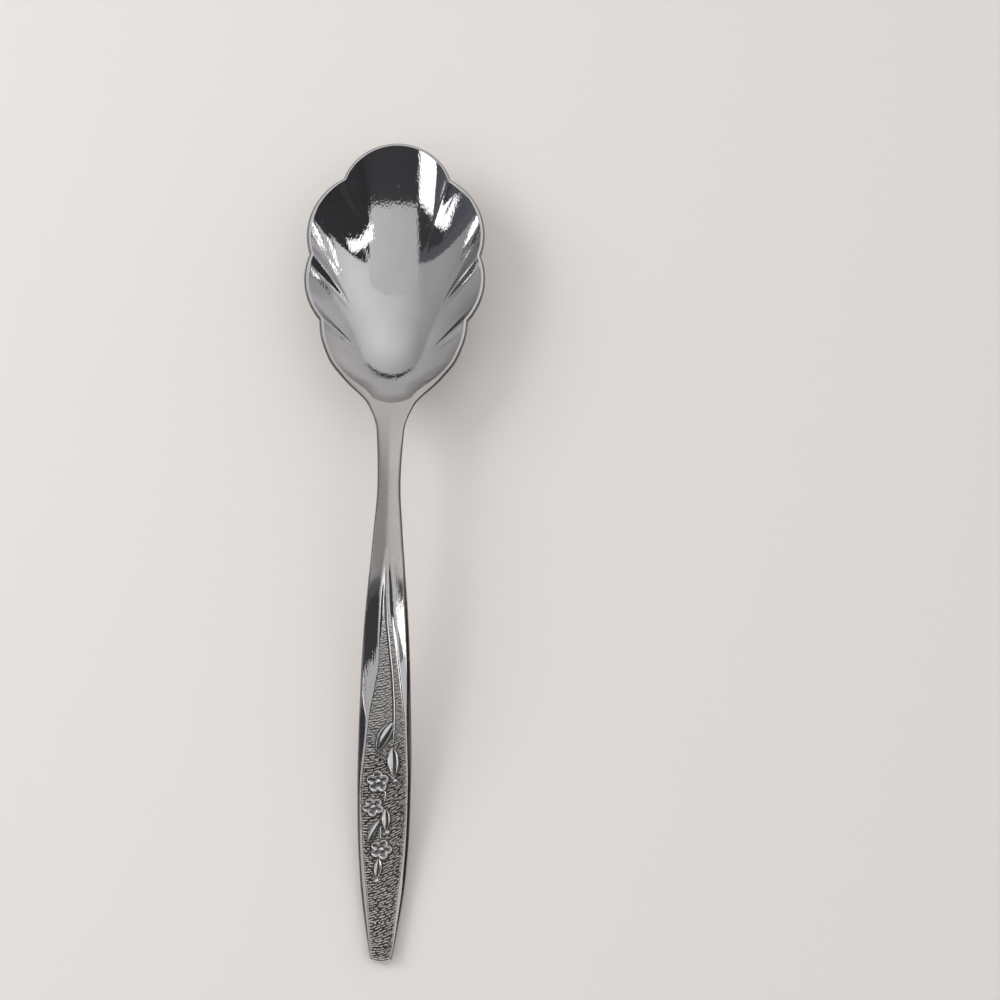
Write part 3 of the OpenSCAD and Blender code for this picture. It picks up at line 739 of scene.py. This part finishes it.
def panel(material):
    """Panel: the stippled ground between the lips, with a plain underside in the recess."""
    y = end_rows(panel_step)
    rows = y[:, None]
    left = lip_x(-1, rows, 1) - tuck
    right = lip_x(1, rows, 1) + tuck
    share = np.linspace(0, 1, panel_columns)[None]
    x = left + (right - left) * share
    border = ease((x - left) / border_run) * ease((right - x) / border_run)
    fade = ease((panel_y - fade_from - rows) / fade_run) * ease((rows - end_y - end_round) / border_run)
    strength = border * (faint_share + (1 - faint_share) * fade)
    bumps = stipple(x, rows) * strength
    groove = stem_groove(x, rows)
    z = ground(x, rows) + stipple_height * bumps - tuck * (1 - border) - groove_depth * groove
    clean = clean_share * ease((rows - clean_from[0]) / (clean_from[1] - clean_from[0]))
    hollow = np.clip(hollow_level - hollow_contrast * bumps, 0, 1) * strength * (1 - clean)
    # Painted shade: fully dark along the groove beside the stem, and a painted shadow around the leaves and
    # blossoms
    hollow = np.maximum(hollow, np.maximum(groove, shade_level * beside_sprig(x, rows)))
    low_x = np.concatenate([left, right], 1)
    low_z = ground(low_x, rows) - panel_fill * panel_thickness
    x = np.concatenate([x, low_x], 1)
    z = end_rounded(np.concatenate([z, low_z], 1), rows)
    # Painted shade: the panel's sides and underside in the recess are fully darkened
    hollow = np.concatenate([hollow, np.ones_like(low_x)], 1)
    points = np.stack([x, drawn_back(x, rows), z], -1).reshape(-1, 3)
    n = x.shape[1]
    order = np.r_[0:panel_columns, panel_columns + 1, panel_columns]
    points = points.reshape(len(y), n, 3)[:, order].reshape(-1, 3)
    hollow = hollow[:, order]
    faces = grid_faces(len(y), n, around=True)
    first = list(range(n))
    last = list(range((len(y) - 1) * n, len(y) * n))
    faces += [first[::-1], last]
    faces = [f[::-1] for f in faces]
    add_piece("panel", points, faces, material, hollow.ravel())


# Sprig: pieces that stand on the ground of the panel

# Depth of the roots in the ground; painted shade at the foot of ridges, leaves and domes, and its fall with
# height
root_depth = 0.12
ridge_foot_shade = 1.2
leaf_foot_shade = 1.25
dome_foot_shade = 1.1
foot_shade_fall = 1.25

# Ridges: their steps along and across, their share of width and height at the ends, and how they taper
# and round
stem_steps = 90
bud_stalk_steps = 24
flower_steps = 30
ridge_columns = 13
ridge_end = 0.35
ridge_taper = 0.12
ridge_round = 0.8

# Leaves: their outline, the level of the blade, its raised edges and the sunk vein
leaf_rows = 48
leaf_columns = 33
leaf_point = 0.06
leaf_lean = 0.85
leaf_round = 0.9
leaf_base = 0.6
leaf_side = 10
blade_level = 0.8
leaf_edge = 0.76
leaf_edge_width = 0.2
vein_depth = 0.65
vein_width = 0.14
vein_growth = 0.16
vein_ends = 6


def on_ground(x, y, height):
    return np.stack([x, y, ground(x, y) + height], -1)


def strip_piece(name, parts, material, tarnish):
    """Closed ridges from grids of points and heights; each grid's sides stand in the ground."""
    points = []
    hollow = []
    faces = []
    start = 0
    for x, y, height in parts:
        rows, columns = x.shape
        sides = np.zeros_like(height, bool)
        sides[:, [0, -1]] = True
        sides[[0, -1]] = True
        height = np.where(sides, -root_depth, height)
        points.append(on_ground(x, y, height).reshape(-1, 3))
        # Painted shade: the lower a point of the ridge or leaf, the darker it is
        hollow.append(np.clip(tarnish - foot_shade_fall * height / height.max(), 0, 1).ravel())
        faces += grid_faces(rows, columns, start=start)
        loop = [*range(columns), *range(2 * columns - 1, rows * columns, columns)]
        loop += [*range(rows * columns - 2, (rows - 1) * columns - 1, -1)]
        loop += [*range((rows - 2) * columns, 0, -columns)]
        faces.append([start + i for i in loop][::-1])
        start += rows * columns
    points = np.concatenate(points)
    add_piece(name, points, faces, material, np.concatenate(hollow))


def ridge_grid(path, width, height, steps):
    """Ridge along a path of (place along, place across) points, thin at both ends."""
    y = np.linspace(path[0][0], path[-1][0], steps)[:, None]
    k = np.linspace(-1, 1, ridge_columns)[None]
    from_end = np.minimum(np.arange(steps), np.arange(steps)[::-1])[:, None]
    full = ridge_end + (1 - ridge_end) * ease(from_end / (ridge_taper * steps))
    x = smooth(path, y) + k * full * width / 2
    return x, y + 0 * x, height * full * (1 - k ** 2) ** ridge_round + 0 * x


def leaf_grid(base, tip, width, bend, vein):
    """Lance-shaped leaf from its base to its tip: a flat blade with raised edges and a sunk vein."""
    base = np.array(base)
    way = np.array(tip) - base
    left = np.array([-way[1], way[0]]) / np.linalg.norm(way)
    t = np.linspace(0, 1, leaf_rows)[:, None]
    k = np.linspace(1, -1, leaf_columns)[None]
    swell = leaf_swell(t)
    middle = base + way * t + left * bend * 4 * t * (1 - t)
    x = middle[:, :1] + left[0] * k * swell * width / 2
    y = middle[:, 1:] + left[1] * k * swell * width / 2
    side = np.abs(k)
    edge = np.exp(-((side - leaf_edge) / leaf_edge_width) ** 2)
    line = np.exp(-((k - vein) / (vein_width + vein_growth * t)) ** 2) * ease(vein_ends * t * (1 - t))
    level = blade_level + (1 - blade_level) * edge - vein_depth * line
    full = leaf_base + (1 - leaf_base) * np.sqrt(swell)
    return x, y, relief * full * (1 - side ** leaf_side) * level


def leaf(name, material, *shape):
    strip_piece(name, [leaf_grid(*shape)], material, leaf_foot_shade)


# Blossoms of unit radius: their petals with raised rims, the moat around the knob and the knob
petal_count = 5
petal_reach = 0.58
petal_size = 0.46
petal_level = 0.2
petal_rim = 0.75
petal_rim_width = 0.3
petal_edge = 1.05
petal_slope = 0.15
moat_reach = 0.32
moat_width = 0.1
moat_depth = 0.85
knob_size = 0.25
knob_rise = 1.05
blossom_columns = 120
blossom_rows = 30
blossom_start = 0.02
bud_columns = 32
bud_rows = 10
bud_start = 0.05
bud_shoulder = 4
bud_round = 0.6


def blossom_height(u, v, turn):
    """Height of a blossom of unit radius: dished petals with raised rims around a knob."""
    height = np.zeros_like(u)
    for i in range(petal_count):
        a = turn + 2 * math.pi * i / petal_count
        px = u - petal_reach * math.cos(a)
        py = v - petal_reach * math.sin(a)
        r = np.hypot(px, py) / petal_size
        rim = petal_level + (1 - petal_level) * np.exp(-((r - petal_rim) / petal_rim_width) ** 2)
        height = np.maximum(height, rim * ease((petal_edge - r) / petal_slope))
    r = np.hypot(u, v)
    moat = 1 - moat_depth * np.exp(-((r - moat_reach) / moat_width) ** 2)
    knob = knob_rise * np.sqrt(np.clip(1 - (r / knob_size) ** 2, 0, 1))
    return np.maximum(height * moat, knob)


def blossom_edge(a, turn):
    """Reach of the petals' joint outline in the direction a."""
    nearest = (a - turn + math.pi / petal_count) % (2 * math.pi / petal_count) - math.pi / petal_count
    across = petal_reach * np.sin(nearest)
    return petal_reach * np.cos(nearest) + np.sqrt((petal_edge * petal_size) ** 2 - across ** 2)


def dome_piece(name, parts, material):
    """Closed domes from rings of points and heights around a top; each last ring stands in the ground."""
    points = []
    hollow = []
    faces = []
    start = 0
    for x, y, height in parts:
        rows, columns = x.shape
        height = height.copy()
        height[-1] = -root_depth
        points.append(on_ground(x, y, height).reshape(-1, 3))
        # Painted shade: the lower a point of the dome, the darker it is
        hollow.append(np.clip(dome_foot_shade - foot_shade_fall * height / relief, 0, 1).ravel())
        faces += grid_faces(rows, columns, around=True, start=start)
        faces.append([start + i for i in range(columns)][::-1])
        last = start + (rows - 1) * columns
        faces.append([last + i for i in range(columns)])
        start += rows * columns
    points = np.concatenate(points)
    faces = [f[::-1] for f in faces]
    add_piece(name, points, faces, material, np.concatenate(hollow))


def blossom(name, material, centre, radii, turn):
    a = np.linspace(0, 2 * math.pi, blossom_columns + 1)[None, :-1]
    share = np.concatenate([np.linspace(blossom_start, 1 - blossom_start, blossom_rows), [1]])[:, None]
    turn = math.radians(turn)
    r = share * blossom_edge(a, turn)
    u = r * np.cos(a)
    v = r * np.sin(a)
    height = relief * blossom_height(u, v, turn)
    dome_piece(name, [(centre[0] + radii[0] * u, centre[1] + radii[1] * v, height)], material)


def buds(material):
    """Round knobs at the tips of three leaves."""
    a = np.linspace(0, 2 * math.pi, bud_columns + 1)[None, :-1]
    share = np.linspace(bud_start, 1, bud_rows)[:, None]
    parts = []
    for x, y in bud_spots:
        lift = bud_rise * relief * (1 - share ** bud_shoulder) ** bud_round + 0 * a
        parts.append((x + bud_radius * share * np.cos(a), y + bud_radius * share * np.sin(a), lift))
    dome_piece("buds", parts, material)


# Materials

# Stretch around the neck that handling has dulled and where shade is painted into its colour: where it fades
# at the bowl, at the panel and lower down, its painted shade and its roughness
worn_high = (30, 40)
worn_low = (-14, -2)
worn_rise = (8.5, 10.5)
painted_worn_shade = (0.84, 0.8, 0.765)
worn_rough = 0.16

# Textures as stretch, scale and detail
streak_texture = ((1, 0.12, 1), 3600, 1)
smudge_texture = ((1, 0.6, 1), 240, 4)
speck_texture = ((1, 0.6, 1), 4200, 1)

# Ranges of textures and of tarnish with painted shade, and the darkening, roughness or height that they stand
# for
smudge_dark = (0.35, 0.7, 0, 0.3)
smudge_shade = 0.8
smudge_range = (0.4, 0.75)
smudge_rough = 0.03
streak_rough = (0.66, 0.78, 0, 0.2)
speck_rough = (0.7, 0.82, 0, 0.2)
speck_height = (0, 1, 0, 0.4)
tarnish_and_shade_dark = (0.25, 1, 0, 0.95)
tarnish_rough = (0.25, 1, 0, 0.25)
bump_distance = 0.00002


def remap(tree, value, low, high, to_low, to_high):
    """Value that is mapped from one range onto another."""
    node = tree.nodes.new("ShaderNodeMapRange")
    node.inputs["From Min"].default_value = low
    node.inputs["From Max"].default_value = high
    node.inputs["To Min"].default_value = to_low
    node.inputs["To Max"].default_value = to_high
    tree.links.new(value, node.inputs["Value"])
    return node.outputs["Result"]


def steel(name, color, dark, rough, scratch):
    """Worn steel: streaks along the spoon, soft smudges, fine scratches, and tarnish in the hollows with
    painted shade.
    """
    material = bpy.data.materials.new(name)
    material.use_nodes = True
    tree = material.node_tree
    nodes = tree.nodes
    links = tree.links
    shader = nodes["Principled BSDF"]
    shader.inputs["Metallic"].default_value = 1
    place = nodes.new("ShaderNodeTexCoord").outputs["Object"]

    def texture(scale, size, detail):
        mapping = nodes.new("ShaderNodeMapping")
        mapping.inputs["Scale"].default_value = scale
        links.new(place, mapping.inputs["Vector"])
        cells = nodes.new("ShaderNodeTexNoise")
        cells.inputs["Scale"].default_value = size
        cells.inputs["Detail"].default_value = detail
        links.new(mapping.outputs["Vector"], cells.inputs["Vector"])
        return cells.outputs["Fac"]

    def blend(factor, a, b):
        node = nodes.new("ShaderNodeMix")
        node.data_type = "RGBA"
        links.new(factor, node.inputs["Factor"])
        for socket, value in (("A", a), ("B", b)):
            target = [i for i in node.inputs if i.name == socket and i.type == "RGBA"][0]
            if isinstance(value, tuple):
                target.default_value = (*value, 1)
            else:
                links.new(value, target)
        return [o for o in node.outputs if o.type == "RGBA"][0]

    def math_node(operation, a, b):
        node = nodes.new("ShaderNodeMath")
        node.operation = operation
        links.new(a, node.inputs[0])
        links.new(b, node.inputs[1])
        return node.outputs[0]

    parts = nodes.new("ShaderNodeSeparateXYZ")
    links.new(place, parts.inputs[0])
    from_bowl = remap(tree, parts.outputs["Y"], worn_high[0] * MM, worn_high[1] * MM, 1, 0)
    from_panel = remap(tree, parts.outputs["Y"], worn_low[0] * MM, worn_low[1] * MM, 0, 1)
    raised_up = remap(tree, parts.outputs["Z"], worn_rise[0] * MM, worn_rise[1] * MM, 0, 1)
    handled_and_shaded = math_node("MULTIPLY", math_node("MULTIPLY", from_bowl, from_panel), raised_up)

    streaks = texture(*streak_texture)
    smudges = texture(*smudge_texture)
    specks = texture(*speck_texture)
    hollow = nodes.new("ShaderNodeAttribute")
    hollow.attribute_name = "hollow"
    smudged = blend(remap(tree, smudges, *smudge_dark), color, tuple(smudge_shade * c for c in color))
    # Painted shade: the handled stretch gets a darker colour; its added roughness is real wear
    worn_and_shaded = blend(handled_and_shaded, smudged, tuple(s * c for s, c in zip(painted_worn_shade, color)))
    # Darkening from the hollow attribute: tarnish in the stipple's hollows, and painted shade everywhere else
    # it is set
    tarnish = remap(tree, hollow.outputs["Fac"], *tarnish_and_shade_dark)
    links.new(blend(tarnish, worn_and_shaded, dark), shader.inputs["Base Color"])
    soft = remap(tree, smudges, *smudge_range, rough, rough + smudge_rough)
    dull = remap(tree, streaks, *streak_rough)
    satin = remap(tree, handled_and_shaded, 0, 1, 0, worn_rough)
    spotted = remap(tree, specks, *speck_rough)
    matte = remap(tree, hollow.outputs["Fac"], *tarnish_rough)
    worn_sum = math_node("ADD", math_node("ADD", soft, dull), math_node("ADD", satin, spotted))
    links.new(math_node("ADD", worn_sum, matte), shader.inputs["Roughness"])
    bump = nodes.new("ShaderNodeBump")
    bump.inputs["Strength"].default_value = scratch
    bump.inputs["Distance"].default_value = bump_distance
    grain = math_node("ADD", streaks, remap(tree, specks, *speck_height))
    links.new(grain, bump.inputs["Height"])
    links.new(bump.outputs["Normal"], shader.inputs["Normal"])
    return material


# Steels as color, color of the tarnish, roughness and strength of the scratches; the stippled and raised
# steels are the same metal with paler colours, which is painted light
polished = steel("polished_steel", (0.66, 0.65, 0.65), (0.035, 0.032, 0.03), 0.03, 0.55)
stippled = steel("stippled_steel", (0.84, 0.81, 0.765), (0.05, 0.042, 0.035), 0.22, 0.3)
raised = steel("raised_steel", (0.94, 0.92, 0.9), (0.04, 0.035, 0.03), 0.06, 0.3)

bowl(polished)
neck(polished)
handle(polished)
panel(stippled)
strip_piece("stem", [
    ridge_grid(stem_path, stem_width, stem_relief, stem_steps),
    ridge_grid(bud_stalk, stalk_width, relief, bud_stalk_steps),
    ridge_grid(flower_link, stalk_width, relief, flower_steps),
    ridge_grid(flower_stalk, stalk_width, relief, flower_steps)], raised, ridge_foot_shade)
for name, shape in leaves.items():
    leaf(name, raised, *shape)
for name, shape in blossoms.items():
    blossom(name, raised, *shape)
buds(raised)


# Stage: a pale floor, soft studio light and the camera

floor_size = 12
floor_drop = 0.00002
lamp_aim = (0, 0.03, 0)
soft_white = (0.98, 0.98, 1, 1)
ceiling_reach = 1.1
ceiling_glow = (0.58, 0.72)

# Sky: its brightest direction, its levels from the far side to there and its share from the horizon up
sky_way = (0.62, 0.5, 0.6)
sky_grade = (0.2, 0.95, 0.45, 0.88)
sky_rise = (0, 0.6, 0.7, 1)


def plain_material(name, color, rough):
    material = bpy.data.materials.new(name)
    material.use_nodes = True
    shader = material.node_tree.nodes["Principled BSDF"]
    shader.inputs["Base Color"].default_value = (*color, 1)
    shader.inputs["Roughness"].default_value = rough
    return material


def plane(name, size, matrix, material):
    mesh = bpy.data.meshes.new(name)
    w = size[0] / 2
    d = size[1] / 2
    mesh.from_pydata([(-w, -d, 0), (w, -d, 0), (w, d, 0), (-w, d, 0)], [], [(0, 1, 2, 3)])
    mesh.materials.append(material)
    obj = bpy.data.objects.new(name, mesh)
    obj.matrix_world = matrix
    bpy.context.scene.collection.objects.link(obj)
    return obj


def aimed(place, at, along):
    """Matrix of something at a place whose -Z points at another place and whose X lies along a direction."""
    back = (Vector(place) - Vector(at)).normalized()
    side = (Vector(along) - back * back.dot(Vector(along))).normalized()
    turn = Matrix((side, back.cross(side), back)).transposed()
    return Matrix.Translation(place) @ turn.to_4x4()


def lamp(name, place, along, size, power):
    light = bpy.data.lights.new(name, "AREA")
    light.shape = "RECTANGLE"
    light.size = size[0]
    light.size_y = size[1]
    light.energy = power
    obj = bpy.data.objects.new(name, light)
    obj.matrix_world = aimed(place, lamp_aim, along)
    bpy.context.scene.collection.objects.link(obj)
    return obj


def card(name, place, facing, along, size, material=None):
    """Card that shows only as a reflection in the metal, dark unless it has a material of its own."""
    matrix = aimed(place, Vector(place) + Vector(facing), along)
    obj = plane(name, size, matrix, material or card_material)
    obj.visible_camera = False
    obj.visible_diffuse = False
    obj.visible_shadow = False


def brighten(material, reach, low, high):
    """Glow that grows across a card, from its left side to its right side."""
    tree = material.node_tree
    parts = tree.nodes.new("ShaderNodeSeparateXYZ")
    tree.links.new(tree.nodes.new("ShaderNodeTexCoord").outputs["Object"], parts.inputs[0])
    glow = remap(tree, parts.outputs["X"], -reach, reach, low, high)
    tree.links.new(glow, tree.nodes["Principled BSDF"].inputs["Emission Strength"])


floor_material = plain_material("floor", (0.87, 0.83, 0.79), 0.6)
plane("floor", (floor_size, floor_size), Matrix.Translation((0, 0, -floor_drop)), floor_material)
card_material = plain_material("card", (0.065, 0.068, 0.076), 0.8)
far_card_material = plain_material("far_card", (0.17, 0.18, 0.205), 0.8)
lower_card_material = plain_material("lower_card", (0.14, 0.155, 0.18), 0.8)
ceiling_material = plain_material("ceiling", (0, 0, 0), 1)
ceiling_shader = ceiling_material.node_tree.nodes["Principled BSDF"]
ceiling_shader.inputs["Emission Color"].default_value = soft_white
brighten(ceiling_material, ceiling_reach, *ceiling_glow)

# Cards as place, facing, direction of their width, and width and height
card("near_card", (0, -1.25, 1.6), (0, 1, 0), (1, 0, 0), (6, 3.2))
card("right_card", (2, -0.64, 1.65), (-1, 0, 0), (0, 1, 0), (1.52, 3.3))
card("low_card", (2, 0.16, 0.45), (-1, 0, 0), (0, 1, 0), (0.24, 0.9))
card("left_card", (-1.5, -0.68, 2.15), (1, 0, 0), (0, 1, 0), (1.08, 1.9))
card("lower_left_card", (-1.5, -0.68, 0.6), (1, 0, 0), (0, 1, 0), (1.08, 1.2), lower_card_material)
card("far_left_card", (-1.5, -0.03, 1.55), (1, 0, 0), (0, 1, 0), (0.22, 3.1), far_card_material)
card("far_low_card", (0, 2.2, 0.18), (0, -1, 0), (1, 0, 0), (5.2, 0.36))
card("right_low_card", (2.6, 0.9, 0.21), (-1, 0, 0), (0, 1, 0), (2.6, 0.42))
card("left_low_card", (-2.6, 0.9, 0.21), (1, 0, 0), (0, 1, 0), (2.6, 0.42))
card("ceiling", (0.07, -0.13, 2.2), (0, 0, -1), (1, 0, 0), (2.27, 1.4), ceiling_material)


def sky():
    """Soft light from all around, the same for all rays, brighter high up and on the right."""
    world = bpy.data.worlds.new("studio")
    bpy.context.scene.world = world
    world.use_nodes = True
    tree = world.node_tree
    nodes = tree.nodes
    links = tree.links
    way = nodes.new("ShaderNodeTexCoord").outputs["Generated"]
    bright = nodes.new("ShaderNodeVectorMath")
    bright.operation = "DOT_PRODUCT"
    bright.inputs[1].default_value = sky_way
    links.new(way, bright.inputs[0])
    parts = nodes.new("ShaderNodeSeparateXYZ")
    links.new(way, parts.inputs[0])
    level = nodes.new("ShaderNodeMath")
    level.operation = "MULTIPLY"
    links.new(remap(tree, bright.outputs["Value"], *sky_grade), level.inputs[0])
    links.new(remap(tree, parts.outputs["Z"], *sky_rise), level.inputs[1])
    shader = nodes["Background"]
    shader.inputs["Color"].default_value = soft_white
    links.new(level.outputs[0], shader.inputs["Strength"])


sky()

# Lamps as place, direction of their width, width and height, and power
key = lamp("key_lamp", (-0.58, 0.26, 0.42), (1, 1, 0), (0.42, 0.42), 2.4)
key.visible_glossy = False
lamp("left_window", (-1.04, -0.55, 1.06), (0.34, -0.18, 0.25), (0.74, 0.4), 1.8)
lamp("ceiling_lamp", (1.2, -0.2, 1.58), (0.42, 0.23, -0.28), (0.85, 0.18), 0.9)
lamp("right_window", (1.84, 0.41, 0.7), (-0.19, 0.98, 0), (0.33, 0.1), 0.25)
lamp("low_right_window", (1.94, 0.5, 0.17), (-0.2, 0.98, 0), (0.2, 0.18), 0.3)
lamp("low_left_window", (-1.95, 0.29, 0.23), (0, 1, 0), (0.26, 0.26), 0.6)

camera_tilt = math.radians(12)
camera_roll = math.radians(0.736)
camera_aim = Vector((0.0202, 0.00888, 0))
camera_distance = 0.4058
back = Vector((0, -math.sin(camera_tilt), math.cos(camera_tilt)))
right = Vector((1, 0, 0))
up = back.cross(right)
rolled_right = math.cos(camera_roll) * right + math.sin(camera_roll) * up
rolled_up = back.cross(rolled_right)
camera = bpy.data.cameras.new("camera")
camera.sensor_width = 36
camera.lens = 78
camera.clip_start = 0.01
camera_object = bpy.data.objects.new("camera", camera)
turn = Matrix((rolled_right, rolled_up, back)).transposed().to_4x4()
camera_object.matrix_world = Matrix.Translation(camera_aim + camera_distance * back) @ turn
bpy.context.scene.collection.objects.link(camera_object)
bpy.context.scene.camera = camera_object
bpy.context.scene.view_settings.view_transform = "Standard"
